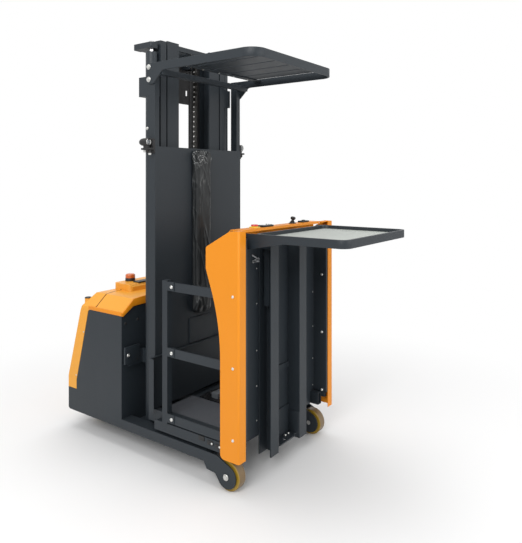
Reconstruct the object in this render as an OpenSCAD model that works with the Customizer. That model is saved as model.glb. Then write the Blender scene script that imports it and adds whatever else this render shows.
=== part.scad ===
// Order picker truck: a low straddle chassis with a drive unit at the back, a two-stage mast,
// a lifting operator's cab and a load tray on a small mast of its own. Millimetres, +X forward, +Z up.
// Stations along X are counted from the front face of the cab's side panels; the whole truck is then
// moved so that the origin lies on the floor under the middle of its length.

/* [Chassis] */
// Height of the top of the two straddle legs
leg_top = 140; // [125:1:142]
// Height of a straddle leg
leg_h = 45; // [35:1:50]
// Width of a straddle leg
leg_w = 65; // [55:1:70]
// Half the width over the straddle legs and the drive unit
leg_y = 365; // [350:1:370]
// Wall of the straddle legs and of the wheel forks
leg_wall = 6; // [4:0.5:8]
// Station of the back of the drive unit
unit_x0 = -1175; // [-1300:5:-1150]
// Station of the front of the drive unit
unit_x1 = -750; // [-760:1:-745]
// Height of the hood's flat top
hood_z = 720; // [700:5:800]
// Thickness of the moulded hood
hood_t = 5; // [3:0.5:8]
// Thickness of the drive unit's steel skin
skin_t = 4; // [2:0.5:6]

/* [Wheels] */
// Radius of a load wheel
wheel_r = 62.5; // [60:0.5:64]
// Width of a load wheel
wheel_w = 44; // [36:1:46]
// Station of the load wheel axle
wheel_x = -88; // [-95:1:-85]
// Radius of a load wheel axle
axle_r = 10; // [8:0.5:14]
// Radius of the drive wheel
drive_r = 105; // [90:1:110]
// Width of the drive wheel
drive_w = 75; // [50:1:90]
// Radius of a caster wheel
caster_r = 50; // [40:1:55]
// Width of a caster wheel
caster_w = 36; // [30:1:45]

/* [Mast] */
// Station of the front face of the mast channels
mast_x = -605; // [-607:1:-600]
// Depth of the mast channels
mast_d = 80; // [70:1:81]
// Height of the top of the outer channels
outer_top = 1995; // [1900:5:2100]
// Half the width over the outer channels
outer_y = 243; // [240:1:246]
// Half the width over the inner channels
inner_y = 197; // [190:1:198]
// Width of the flanges of the outer channels
outer_flange = 38; // [34:1:40]
// Width of the flanges of the inner mast's beams
inner_flange = 80; // [76:1:84]
// Web of the mast channels
mast_web = 9; // [6:0.5:12]
// Flange thickness of the mast channels
mast_flange_t = 11; // [8:0.5:14]
// Outer radius of a lift cylinder
barrel_r = 28; // [24:0.5:28]
// Radius of a lift rod
rod_r = 11; // [10:0.5:16]
// Pitch of the lift chain
chain_pitch = 19.05; // [15:0.05:25]

/* [Cab] */
// Half the width over the cab's posts and the overhead guard
post_y = 326; // [318:1:330]
// Depth of a cab post
post_d = 42; // [30:1:44]
// Width of a cab post
post_w = 30; // [25:1:40]
// Station of the front face of the cab's back panel
back_x = -556; // [-560:1:-550]
// Height of the top of the back panel
back_top = 1470; // [1300:5:1600]
// Height of the top of the lower kick wall
kick_top = 473; // [400:5:600]
// Height of the floor deck
deck_z = 205; // [200:1:215]
// Clear height of the platform frame over the floor
frame_z = 165; // [155:1:170]
// Height of the top of the overhead guard
guard_top = 1865; // [1800:5:1900]
// Station of the front of the overhead guard
guard_x = 35; // [0:1:80]
// Depth of the overhead guard's rim
guard_h = 40; // [30:1:60]
// Thickness of the overhead guard's rim
guard_t = 8; // [5:0.5:12]
// Number of bars in the overhead guard
guard_bars = 5; // [3:1:6]
// Width of the backrest pad
pad_w = 146; // [120:1:160]
// Thickness of the backrest pad
pad_t = 42; // [30:1:60]

/* [Front] */
// Half the width over the side panels
panel_y = 390; // [386:1:400]
// Height of the top of the side panels
panel_top = 1098; // [1050:1:1150]
// Height of the bottom of the side panels
panel_bottom = 148; // [146:1:155]
// Width of the side panels' front face
panel_face = 46; // [40:1:50]
// Thickness of the side panels
panel_t = 3; // [2:0.5:5]
// Radius of the bend along the side panels' front edge
panel_r = 9; // [6:0.5:14]
// Half the width over the small mast
small_y = 150; // [140:1:160]
// Width of the small mast's front flanges
small_flange = 62; // [50:1:64]
// Depth of the small mast
small_d = 68; // [60:1:68]
// Height of the bottom of the small mast
small_z0 = 80; // [70:1:100]
// Height of the top of the load tray
tray_z = 1083; // [1070:1:1100]
// Station of the front of the load tray
tray_x1 = 440; // [400:5:500]
// Half the width of the load tray
tray_y = 295; // [260:5:310]
// Depth of the load tray's rim
tray_h = 34; // [25:1:45]

/* [Gates] */
// Thickness of a gate rail
rail_t = 8; // [6:0.5:10]
// Depth of a gate rail
rail_h = 40; // [30:1:44]
// Distance between the pins of a gate rail
rail_len = 370; // [350:5:390]
// Radius of a gate pin
pin_r = 5; // [4:0.5:6]

/* [Hidden] */
// Running clearance between pieces that slide or turn on each other
run_gap = 0.05;
// Clearance between moving pieces that pass each other
slide_gap = 6;
// Gap between a piece and the seat that carries it
seat_gap = 0.3;
origin_x = (unit_x0 + tray_x1) / 2;
leg_z0 = leg_top - leg_h;
leg_x0 = unit_x1;
leg_x1 = -205;
unit_z0 = leg_z0;
mast_x0 = mast_x - mast_d;
mast_z0 = leg_z0 + 12;
inner_top = outer_top + 5;
inner_z0 = mast_z0 + 10;
rod_x = mast_x - 35;
rod_y = outer_y + barrel_r + seat_gap;
barrel_top = outer_top - 60;
head_z0 = inner_top - 48;
head_t = 28;
head_x0 = rod_x - 100;
cross_h = 70;
cross_z = [300, 1150, outer_top - 175];
clamp_z = [outer_top - 278, outer_top - 183];
tie_y = 330;
tie_z = [392, 462];
tie_t = 8;
beam_y0 = inner_y - inner_flange;
beam_web = [beam_y0 + (inner_flange - mast_web) / 2, beam_y0 + (inner_flange + mast_web) / 2];
post_x0 = back_x - post_d - 3;
fork_y = leg_y - leg_wall;
fork_gap = 54;
wheel_y = fork_y - fork_gap / 2;
roller_r = mast_d / 2 - mast_flange_t - seat_gap;
caster_plate_z = 168;
drive_plate_z = 260;
drive_x = -950;
caster_x = -1070;
caster_y = 195;
pad_z0 = 610;
gate_pin_x = -32;
gate_z = [227, 527, 826];
rail_y = 360;
ear_gap = 0.3;
bar_x = gate_pin_x - rail_len - 60;
small_x0 = -10 - small_d;
wall_x = small_x0;
console_x0 = -172;
console_x1 = -98;
console_y = post_y - 2;
plate_x1 = 0;
small_top = 1046;
small_web = 6;

steel_grey = [0.24, 0.26, 0.28];
orange = [0.95, 0.62, 0.16];
black = [0.06, 0.06, 0.07];

// Shape helpers
module station() translate([-origin_x, 0, 0]) children();
module box(x, y, z) translate([x[0], y[0], z[0]]) cube([x[1] - x[0], y[1] - y[0], z[1] - z[0]]);
module both_sides() {
    children();
    mirror([0, 1, 0]) children();
}
// A plate of thickness t whose outline lies in X and Z, with its low Y face at y0
module side_plate(y0, t) translate([0, y0 + t, 0]) rotate([90, 0, 0]) linear_extrude(t) children();
// A plate of thickness t whose outline lies in Y and Z, with its low X face at x0
module cross_plate(x0, t) translate([x0, 0, 0]) rotate([90, 0, 90]) linear_extrude(t) children();
// A round bar along Y from y0 to y1 at x, z
module bar_y(x, z, r, y0, y1) translate([x, y1, z]) rotate([90, 0, 0]) cylinder(r = r, h = y1 - y0, $fn = 48);
module rect(a, b) translate(a) square([b[0] - a[0], b[1] - a[1]]);
module rounded_rect(a, b, r) {
    rect([a[0] + r, a[1]], [b[0] - r, b[1]]);
    rect([a[0], a[1] + r], [b[0], b[1] - r]);
    for (x = [a[0] + r, b[0] - r], y = [a[1] + r, b[1] - r]) translate([x, y]) circle(r = r, $fn = 40);
}
// Points of an arc about c, from angle a0 to angle a1
function arc(c, r, a0, a1, n = 8) = [for (i = [0:n]) c + r * [cos(a0 + (a1 - a0) * i / n), sin(a0 + (a1 - a0) * i / n)]];
// Channel that opens towards Y = 0, on the +Y side
module channel(x0, d, y_out, flange, web, ft) difference() {
    rect([x0, y_out - flange], [x0 + d, y_out]);
    rect([x0 + ft, y_out - flange - 1], [x0 + d - ft, y_out - web]);
}
module tube_x(x, y, z, wall) difference() {
    box(x, y, z);
    box([x[0] - 1, x[1] + 1], [y[0] + wall, y[1] - wall], [z[0] + wall, z[1] - wall]);
}

// Chassis: legs, wheel forks, mast foot and the drive unit's floor
fork_outline = concat([[leg_x1 - 10, leg_top], [leg_x1 - 10, leg_z0], [leg_x1 + 8, 66], [-150, 62]],
    arc([wheel_x, wheel_r], 50, 205, 430, 14), [[-140, leg_top - 1]]);
module fork_plate(y0) difference() {
    side_plate(y0, leg_wall) polygon(fork_outline);
    bar_y(wheel_x, wheel_r, axle_r + run_gap, y0 - 1, y0 + leg_wall + 1);
}
module chassis() color(steel_grey) station() {
    both_sides() {
        tube_x([leg_x0, leg_x1], [leg_y - leg_w, leg_y], [leg_z0, leg_top], leg_wall);
        fork_plate(fork_y);
        fork_plate(fork_y - fork_gap - leg_wall);
        box([leg_x1 - 10, leg_x1], [fork_y - fork_gap - leg_wall, leg_y - 1], [leg_z0, leg_top]);
        box([mast_x0 - 55, mast_x + 30], [0, leg_y - leg_w], [leg_z0, leg_z0 + 12]);
        box([unit_x1 - 60, mast_x0 - 55], [80, leg_y - leg_w], [leg_z0, leg_z0 + 12]);
    }
    difference() {
        box([unit_x0 + skin_t, unit_x1 - skin_t], [-leg_y + skin_t, leg_y - skin_t], [leg_z0, leg_z0 + 10]);
        translate([drive_x, 0, 0]) cylinder(r = 165, h = 400, $fn = 64);
        for (s = [-1, 1]) translate([caster_x, s * caster_y, 0]) cylinder(r = 90, h = 400, $fn = 48);
    }
    both_sides() box([caster_x - 96, caster_x + 96], [caster_y - 40, caster_y + 40], [caster_plate_z, caster_plate_z + 8]);
    both_sides() for (x = [caster_x - 100, caster_x + 92])
        box([x, x + 8], [caster_y - 40, caster_y + 40], [leg_z0 + 10, caster_plate_z + 8]);
    difference() {
        box([drive_x - 60, drive_x + 60], [-176, 176], [drive_plate_z, drive_plate_z + 12]);
        translate([drive_x, 0, drive_plate_z - 1]) cylinder(r = 30 + run_gap, h = 20, $fn = 64);
    }
    both_sides() box([drive_x - 60, drive_x + 60], [168, 176], [leg_z0 + 10, drive_plate_z]);
}
module load_axles() color("silver") station() both_sides()
    bar_y(wheel_x, wheel_r, axle_r, fork_y - fork_gap - leg_wall - 3, leg_y + 2);

// Wheels
module tyre_wheel(r, w, bore, hub_r, hub_w) rotate([90, 0, 0]) rotate_extrude($fn = 72) difference() {
    union() {
        rect([bore, -hub_w / 2], [bore + 8, hub_w / 2]);
        rect([bore, -w / 2 + 4], [hub_r, w / 2 - 4]);
        rect([hub_r, -w / 2], [r - 4, w / 2]);
        rect([r - 5, -w / 2 + 4], [r, w / 2 - 4]);
        for (s = [-1, 1]) translate([r - 4, s * (w / 2 - 4)]) circle(r = 4, $fn = 24);
    }
    rect([-1, -hub_w], [bore, hub_w]);
}
module load_wheel(side) color([0.45, 0.36, 0.22]) station() translate([wheel_x, side * wheel_y, wheel_r])
    tyre_wheel(wheel_r, wheel_w, axle_r + run_gap, 40, fork_gap - 2 * seat_gap);
module drive_wheel() color(black) station() translate([drive_x, 0, drive_r])
    tyre_wheel(drive_r, drive_w, 15 + run_gap, 70, drive_w + 10 - 2 * seat_gap);
module drive_unit() color(black) station() translate([drive_x, 0, 0]) {
    translate([0, 0, 2 * drive_r + 12]) cylinder(r = 75, h = drive_plate_z - 2 * drive_r - 12 - seat_gap, $fn = 64);
    translate([0, 0, drive_plate_z + 12 + seat_gap]) cylinder(r = 62, h = 150, $fn = 64);
    translate([0, 0, drive_plate_z - 10]) cylinder(r = 30, h = 40, $fn = 64);
    both_sides() box([-40, 40], [drive_w / 2 + 5, drive_w / 2 + 17], [60, 2 * drive_r + 14]);
    bar_y(0, drive_r, 15, -drive_w / 2 - 17, drive_w / 2 + 17);
}
module caster_fork(side) color(steel_grey) station() translate([caster_x, side * caster_y, 0]) {
    translate([0, 0, 160]) cylinder(r = 34, h = caster_plate_z - 160 - seat_gap, $fn = 48);
    translate([0, 0, 112]) cylinder(r = 28, h = 50, $fn = 48);
    box([-30, 30], [-caster_w / 2 - 11, caster_w / 2 + 11], [108, 114]);
    for (y = [-caster_w / 2 - 11, caster_w / 2 + 5]) side_plate(y, 6) polygon([[-22, 110], [22, 110], [-8, 38], [-42, 38]]);
    bar_y(-25, caster_r, 8, -caster_w / 2 - 11, caster_w / 2 + 11);
}
module caster_wheel(side) color([0.45, 0.36, 0.22]) station() translate([caster_x - 25, side * caster_y, caster_r])
    tyre_wheel(caster_r, caster_w, 8 + run_gap, 30, caster_w + 10 - 2 * seat_gap);

// Drive unit: steel skin, moulded hood, beacon and the battery inside
band = 68;
lip_z = 643;
rear_low = 271;
strip_z0 = 212;
shoulder_x = unit_x0 + 103;
seam_x = shoulder_x + 117;
box_z = 756;
box_x = [shoulder_x + 60, unit_x1 - 130];
hood_side = [[unit_x0, strip_z0], [unit_x0, rear_low], [shoulder_x, 632], [shoulder_x + 40, hood_z - 4],
    [shoulder_x + 117, hood_z + 2], [unit_x1 + 6, hood_z - 2], [unit_x1 + 6, strip_z0]];
hood_cross = [[-leg_y, 0], [-leg_y, lip_z + 12], [-leg_y + 72, hood_z - 3], [-leg_y + 150, hood_z + 4],
    [leg_y - 150, hood_z + 4], [leg_y - 72, hood_z - 3], [leg_y, lip_z + 12], [leg_y, 0]];
module hood_solid(inset) intersection() {
    translate([0, 0, -inset]) translate([inset, 0, 0]) side_plate(-leg_y - 1, 2 * leg_y + 2) polygon(hood_side);
    translate([0, 0, -inset]) cross_plate(unit_x0 - 1, unit_x1 - unit_x0 + 40) polygon(
        [for (p = hood_cross) [p[0] * (leg_y - inset) / leg_y, p[1]]]);
}
hood_cut = [[unit_x0 + band, strip_z0 - 30], [unit_x0 + band, rear_low - 10], [shoulder_x + band - 6, lip_z - 8],
    [shoulder_x + band + 8, lip_z], [unit_x1 + 40, lip_z], [unit_x1 + 40, strip_z0 - 30]];
// Groove where the rear and the front mouldings of the hood meet
module hood_seam() difference() {
    box([seam_x, seam_x + 3], [-leg_y - 1, leg_y + 1], [strip_z0, hood_z + 60]);
    hood_solid(2);
}
module hood() color(orange) station() {
    difference() {
        hood_solid(0);
        hood_seam();
        translate([0, 0, -0.01]) hood_solid(hood_t);
        side_plate(-leg_y - 1, 2 * leg_y + 2) polygon(hood_cut);
        cross_plate(unit_x1, 20) polygon([[-leg_y, 0], [-leg_y, lip_z], [-298, 683], [298, 683], [leg_y, lip_z], [leg_y, 0]]);
    }
    difference() {
        translate([0, 0, hood_z - 1]) linear_extrude(box_z - hood_z + 1) rounded_rect([box_x[0], -198], [box_x[1], 198], 22);
        translate([0, 0, hood_z - 2]) linear_extrude(box_z - hood_z - 4) rounded_rect([box_x[0] + 6, -192], [box_x[1] - 6, 192], 16);
        for (s = [-1, 1]) translate([box_x[1], 0, box_z]) rotate([0, 45, 0]) box([-9, 9], [-200, 200], [-9, 9]);
    }
    translate([unit_x0 + 95, -312, 600]) cylinder(r = 17, h = 84, $fn = 48);
}
housing_side = concat([[unit_x1, unit_z0], [unit_x1, lip_z - 1], [shoulder_x + band + 9, lip_z - 1],
    [shoulder_x + band - 4, lip_z - 9], [unit_x0 + band + 1, rear_low - 10], [unit_x0 + band + 1, strip_z0 - 1],
    [unit_x0, strip_z0 - 1]], arc([unit_x0 + 14, unit_z0 + 14], 14, 180, 270, 5));
module drive_housing() color(steel_grey) station() {
    both_sides() side_plate(leg_y - skin_t, skin_t) polygon(housing_side);
    cross_plate(unit_x1 - skin_t, skin_t) polygon([[-leg_y, unit_z0 + 12], [-leg_y, lip_z - 1],
        [-leg_y + hood_t + 2, lip_z - 1], [-298, 680], [298, 680], [leg_y - hood_t - 2, lip_z - 1],
        [leg_y, lip_z - 1], [leg_y, unit_z0 + 12]]);
    cross_plate(unit_x0, skin_t) rect([-leg_y, unit_z0 + 14], [leg_y, strip_z0 - 1]);
    both_sides() box([unit_x1, unit_x1 + tie_t], [tie_y - 70, tie_y], tie_z);
}
module beacon() station() translate([shoulder_x + 92, -104, box_z]) {
    color(black) cylinder(r = 27, h = 12, $fn = 48);
    color([0.9, 0.3, 0.08]) translate([0, 0, 12]) rotate_extrude($fn = 48) {
        rect([0, 0], [25, 22]);
        rect([0, 0], [21, 26]);
        intersection() {
            translate([21, 22]) circle(r = 4, $fn = 24);
            rect([0, 0], [30, 30]);
        }
    }
}
module battery() color(black) station() box([-830, -765], [-280, 280], [leg_z0 + 12, 600]);

// Mast
module outer_mast() color(steel_grey) station() {
    both_sides() translate([0, 0, mast_z0]) linear_extrude(outer_top - mast_z0)
        channel(mast_x0, mast_d, outer_y, outer_flange, mast_web, mast_flange_t);
    for (z = cross_z) {
        box([mast_x0 - slide_gap - 14, mast_x0 - slide_gap], [-outer_y, outer_y], [z, z + cross_h]);
        both_sides() box([mast_x0 - slide_gap, mast_x0], [outer_y - outer_flange, outer_y], [z, z + cross_h]);
    }
    both_sides() difference() {
        box([mast_x0 - 13, rod_x + barrel_r + 2], [outer_y - 1, outer_y + 2 * barrel_r + 1], clamp_z);
        translate([rod_x, rod_y, clamp_z[0] - 1]) cylinder(r = barrel_r + run_gap, h = clamp_z[1] - clamp_z[0] + 2, $fn = 64);
    }
    both_sides() box([unit_x1 + tie_t, mast_x0 + 1], [outer_y - mast_web, outer_y], tie_z);
    both_sides() box([unit_x1 + tie_t, unit_x1 + 2 * tie_t], [outer_y - mast_web, tie_y], tie_z);
}
module lift_barrels() color(steel_grey) station() both_sides() translate([rod_x, rod_y, mast_z0]) difference() {
    cylinder(r = barrel_r, h = barrel_top - mast_z0, $fn = 48);
    translate([0, 0, 12]) cylinder(r = rod_r + run_gap, h = barrel_top - mast_z0, $fn = 48);
}
// Beam on the +Y side with a web in the middle of its flanges
module beam_plan() difference() {
    rect([mast_x0, beam_y0], [mast_x, inner_y]);
    rect([mast_x0 + mast_flange_t, beam_y0 - 1], [mast_x - mast_flange_t, beam_web[0]]);
    rect([mast_x0 + mast_flange_t, beam_web[1]], [mast_x - mast_flange_t, inner_y + 1]);
}
module inner_mast() color(steel_grey) station() {
    both_sides() {
        translate([0, 0, inner_z0]) linear_extrude(inner_top - inner_z0) beam_plan();
        translate([0, 0, head_z0]) linear_extrude(head_t) {
            rounded_rect([head_x0, outer_y + slide_gap], [rod_x + 28, outer_y + 57], 10);
            rect([head_x0 + 10, beam_web[0]], [mast_x0 - slide_gap, outer_y + slide_gap + 12]);
            rect([mast_x0 - slide_gap - 1, beam_web[0]], [mast_x0 + 1, inner_y]);
        }
        for (z = [inner_z0 + 90, inner_z0 + 330]) {
            bar_y(mast_x0 + mast_d / 2, z, roller_r, outer_y - outer_flange + 1, outer_y - mast_web - 2);
            bar_y(mast_x0 + mast_d / 2, z, 12, beam_web[0] + 1, outer_y - outer_flange + 2);
        }
        box([mast_x0 + 8, mast_x0 + 62], [14, 20], [inner_top - 110, inner_top - 30]);
    }
    box([mast_x0, mast_x0 + 12], [-beam_y0 - 1, beam_y0 + 1], [inner_top - 60, inner_top - 11]);
    box([mast_x - 11, mast_x], [-beam_y0 - 1, beam_y0 + 1], [inner_top - 36, inner_top - 11]);
    box([mast_x0, mast_x0 + 11], [-beam_y0 - 1, beam_y0 + 1], [inner_z0 + 4, inner_z0 + 60]);
}
module lift_rods() color("silver") station() both_sides() {
    translate([rod_x, rod_y, mast_z0 + 20]) cylinder(r = rod_r, h = head_z0 - mast_z0 - 20, $fn = 48);
    translate([rod_x, rod_y, head_z0 + head_t]) cylinder(r = 12, h = 10, $fn = 6);
}
sheave_r = 38;
sheave_x = mast_x0 + 45;
sheave_z = inner_top - 75;
module chain_wheel() color("silver") station() translate([sheave_x, 0, sheave_z]) {
    rotate([90, 0, 0]) cylinder(r = sheave_r - 8, h = 24, center = true, $fn = 64);
    rotate([90, 0, 0]) cylinder(r = 9, h = 28 - seat_gap, center = true, $fn = 40);
}
chain_x = sheave_x + sheave_r;
chain_links = 2 * floor((sheave_z - 620) / chain_pitch / 2);
chain_end = sheave_z - chain_links * chain_pitch - 8;
module chain_row(phase) for (i = [0:chain_links / 2 - 1])
    translate([0, sheave_z - (2 * i + 0.5 + phase) * chain_pitch]) if (2 * i + 1 + phase <= chain_links) {
        for (s = [-0.5, 0.5]) translate([0, s * chain_pitch]) circle(r = 8, $fn = 24);
        rect([-5.5, -chain_pitch / 2], [5.5, chain_pitch / 2]);
    }
module lift_chain() color([0.35, 0.35, 0.36]) station() translate([chain_x, 0, 0]) {
    for (row = [[-8, 0], [-4.5, 1], [1.5, 1], [5, 0]]) side_plate(row[0], 3) chain_row(row[1]);
    for (i = [0:chain_links]) bar_y(0, sheave_z - i * chain_pitch, 3.2, -9.5, 9.5);
}

// Cab: platform, back wall, overhead guard
module platform() color(steel_grey) station() {
    box([back_x + 2, wall_x - 3], [-328, 328], [deck_z - 6, deck_z]);
    both_sides() {
        tube_x([back_x - 3, -32], [300, 330], [frame_z, frame_z + 60], 4);
        box([-520, -110], [leg_y - 8, leg_y], [frame_z - 10, deck_z - 6]);
        box([-520, -110], [330, leg_y - 8], [frame_z + 20, frame_z + 28]);
    }
    for (x = [-330, -118]) box([x, x + 30], [-300, 300], [frame_z, deck_z - 6]);
    box([back_x - 40, back_x + 2], [-post_y + post_w, post_y - post_w], [frame_z, deck_z - 6]);
    box([back_x - 1, back_x + 24], [-300, 300], [frame_z, deck_z - 6]);
}
module floor_mat() color(black) station() box([back_x + 4, wall_x - 40], [-290, -75], [deck_z, deck_z + 8]);
module foot_pedal() color(black) station() {
    box([back_x + 30, -200], [-62, 285], [deck_z, deck_z + 10]);
    box([-470, -240], [-30, 240], [deck_z + 10, deck_z + 26]);
}
module back_frame() color(steel_grey) station() both_sides() difference() {
    box([post_x0, post_x0 + post_d], [post_y - post_w, post_y], [frame_z, guard_top - 6]);
    box([post_x0 + 3, post_x0 + post_d - 3], [post_y - post_w + 3, post_y - 3], [frame_z - 1, guard_top]);
}
module carriage() color(steel_grey) station() {
    for (z = [330, 560, 806]) box([post_x0 + post_d - 10, post_x0 + post_d], [-post_y + post_w, post_y - post_w], [z, z + 60]);
    both_sides() {
        box([mast_x0 + 18, post_x0 + post_d], [beam_y0 - 16, beam_y0 - slide_gap], [295, 866]);
        for (z = [330, 826]) {
            bar_y(mast_x0 + mast_d / 2, z, roller_r, beam_y0 + 2, beam_web[0] - 2);
            bar_y(mast_x0 + mast_d / 2, z, 12, beam_y0 - slide_gap - 1, beam_y0 + 3);
        }
    }
    box([chain_x - 10, post_x0 + post_d - 10], [-12, 12], [560, chain_end - seat_gap]);
}
module back_panel() color(steel_grey) station() {
    box([back_x - 3, back_x], [-post_y, post_y], [kick_top - 120, back_top]);
    box([back_x, back_x + 6], [-92, 72], [kick_top + 10, pad_z0 - 4]);
}
module backrest_pad() color(black) station() box([back_x + seat_gap, back_x + pad_t], [-pad_w / 2 - 10, pad_w / 2 - 10], [pad_z0, back_top - 6]);
module kick_wall() color(steel_grey) station() {
    box([back_x, back_x + 3], [-leg_y, leg_y], [frame_z + 62, kick_top]);
    box([back_x, back_x + 16], [-leg_y, leg_y], [kick_top, kick_top + 3]);
    both_sides() box([back_x, -525], [leg_y - 3, leg_y], [frame_z + 62, kick_top]);
}
rim_r = 60;
module guard_outline(inset) {
    rect([post_x0, -post_y + inset], [guard_x - rim_r, post_y - inset]);
    rect([guard_x - rim_r - 1, -post_y + rim_r], [guard_x - inset, post_y - rim_r]);
    for (s = [-1, 1]) translate([guard_x - rim_r, s * (post_y - rim_r)]) circle(r = rim_r - inset, $fn = 64);
}
module overhead_guard() color(steel_grey) station() {
    translate([0, 0, guard_top - guard_h]) linear_extrude(guard_h) difference() {
        guard_outline(-guard_t);
        guard_outline(0);
        rect([post_x0 - 20, -post_y - 20], [post_x0 - 1, post_y + 20]);
    }
    both_sides() side_plate(post_y, guard_t) polygon([[post_x0 - 7, guard_top - 92], [post_x0 - 3, guard_top - 96],
        [post_x0 + 35, guard_top - 100], [post_x0 + 42, guard_top - 96], [post_x0 + 99, guard_top - 42],
        [post_x0 + 116, guard_top - guard_h], [post_x0 + 116, guard_top], [post_x0 - 7, guard_top]]);
    box([-535, -505], [-post_y - 1, post_y + 1], [guard_top - 60, guard_top - 34]);
    box([guard_x - 40, guard_x + 1], [-post_y + rim_r, post_y - rim_r], [guard_top - 14, guard_top - 8]);
    box([-450, -410], [-post_y - 1, post_y + 1], [guard_top - 14, guard_top - 8]);
    for (i = [0:guard_bars - 1]) let (pitch = 2 * (post_y - 30) / guard_bars, y = -post_y + 30 + pitch * i)
        box([-470, guard_x - 6], [y + 4, y + pitch - 8], [guard_top - 8, guard_top - 4]);
}
module side_lamps() color(black) station() both_sides() {
    box([-600, -570], [post_y, post_y + 14], [1470, 1500]);
    translate([-612, post_y + 28, 1492]) rotate([0, 90, 0]) cylinder(r = 16, h = 44, $fn = 40);
}

// Front: wall, side panels, console and the small mast with its tray
module front_wall() color(steel_grey) station() {
    difference() {
        box([wall_x - 3, wall_x], [-panel_y + 57, panel_y - 57], [frame_z, small_top + 20]);
        both_sides() box([wall_x - 4, wall_x + 1], [299, 331], [frame_z - 1, frame_z + 61]);
    }
    both_sides() box([wall_x - 1, -panel_t], [panel_y - 60, panel_y - 57], [frame_z + 62, small_top + 20]);
    both_sides() box([-panel_t - 3, -panel_t], [panel_y - 58, panel_y - 18], [frame_z + 62, small_top + 20]);
}
panel_side = concat([[1, panel_bottom], [1, panel_top], [-48, panel_top]],
    arc([-166, panel_top - 81], 14, 120, 180, 4), arc([-166, 936], 14, 180, 198, 3),
    arc([-960, 560], 860, 20, 0, 10), arc([-80, panel_bottom + 20], 20, 180, 270, 6));
module bent_corner(inset) {
    rect([-200, panel_y - 60], [-panel_r, panel_y - inset]);
    rect([-200, panel_y - 60], [-inset, panel_y - panel_r]);
    translate([-panel_r, panel_y - panel_r]) circle(r = panel_r - inset, $fn = 48);
}
module side_panel(side) color(orange) station() mirror([0, side > 0 ? 0 : 1, 0]) {
    intersection() {
        side_plate(panel_y - 70, 80) polygon(panel_side);
        translate([0, 0, panel_bottom - 1]) linear_extrude(panel_top - panel_bottom + 2) difference() {
            bent_corner(0);
            bent_corner(panel_t);
            rect([-300, panel_y - 61], [1, panel_y - panel_face]);
        }
    }
}
module console() color(orange) station() {
    side_plate(-console_y, 2 * console_y) polygon([[wall_x + 38, panel_top - 12], [wall_x + 33, panel_top],
        [console_x1, panel_top], [console_x0, panel_top - 70], [console_x0, panel_top - 75], [console_x1, panel_top - 5],
        [wall_x + 30, panel_top - 5], [wall_x + 33, panel_top - 12]]);
    box([wall_x - 3, wall_x], [-panel_y + 60, panel_y - 60], [small_top + 20, panel_top - 4]);
}
module controls() color(black) station() translate([-71, 0, panel_top]) {
    translate([0, -195, 0]) cylinder(r = 16, h = 12, $fn = 40);
    translate([0, -195, 11]) cylinder(r = 20, h = 13, $fn = 40);
    box([-22, 20], [-145, -72], [0, 8]);
    translate([0, 118, 0]) cylinder(r = 19, h = 8, $fn = 40);
    translate([0, 118, 7]) cylinder(r = 8, h = 32, $fn = 40);
    translate([0, 118, 36]) cylinder(r = 14, h = 14, $fn = 40);
    box([-16, 16], [190, 250], [0, 12]);
}
foot_y = small_y - small_flange + 1;
module small_mast() color(steel_grey) station() {
    both_sides() translate([0, 0, small_z0]) linear_extrude(small_top - small_z0) difference() {
        rect([small_x0, small_y - small_flange], [small_x0 + small_d, small_y]);
        rect([small_x0 + small_web, small_y - small_flange + small_web], [small_x0 + small_d - small_web, small_y + 1]);
    }
    box([small_x0, small_x0 + 6], [-foot_y, foot_y], [small_z0 + 20, small_z0 + 150]);
    translate([0, 0, small_z0 + 16]) linear_extrude(6) difference() {
        rect([small_x0, -foot_y], [small_x0 + 58, foot_y]);
        both_sides() translate([small_x0 + 58, foot_y - 14]) circle(r = 12, $fn = 40);
        translate([small_x0 + 40, 0]) circle(r = 9, $fn = 40);
    }
    for (z = [410, small_top - 26]) box([small_x0, small_x0 + small_web], [-foot_y, foot_y], [z, z + 26]);
}
runner_x = [small_x0 + 20, small_x0 + 48];
runner_y = small_y - small_flange + small_web + 2;
runner_z = [tray_z - 338, tray_z - 53];
arm_z0 = tray_z - 79;
module tray_carriage() color(steel_grey) station() {
    both_sides() {
        for (z = [runner_z[0] + 25, runner_z[1] - 55]) bar_y(small_x0 + small_d / 2, z, small_d / 2 - small_web - seat_gap, runner_y, runner_y + 26);
        box(runner_x, [runner_y + 25, runner_y + 38], runner_z);
        box(runner_x, [runner_y + 25, small_y + 14], [arm_z0, runner_z[1]]);
        box([runner_x[0], plate_x1 - 1], [small_y + slide_gap, small_y + 14], [arm_z0, tray_z - tray_h]);
    }
    box([plate_x1 - 5, plate_x1], [-small_y - 14, small_y + 14], [arm_z0 + 12, tray_z - 14]);
}
module load_tray() color(steel_grey) station() {
    difference() {
        translate([0, 0, tray_z - tray_h]) linear_extrude(tray_h) rounded_rect([plate_x1, -tray_y], [tray_x1, tray_y], 40);
        translate([0, 0, tray_z - tray_h + 12]) linear_extrude(tray_h) rounded_rect([14, -tray_y + 12], [tray_x1 - 12, tray_y - 12], 28);
    }
    both_sides() side_plate(tray_y - 6, 6) polygon([[-38, tray_z - 70], [-38, tray_z],
        [60, tray_z], [60, tray_z - 10], [150, tray_z - 10], [150, tray_z - tray_h]]);
}
module tray_mat() color([0.6, 0.63, 0.6]) station() translate([0, 0, tray_z - tray_h + 12]) linear_extrude(6)
    rounded_rect([15, -tray_y + 13], [tray_x1 - 13, tray_y - 13], 27);

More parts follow.
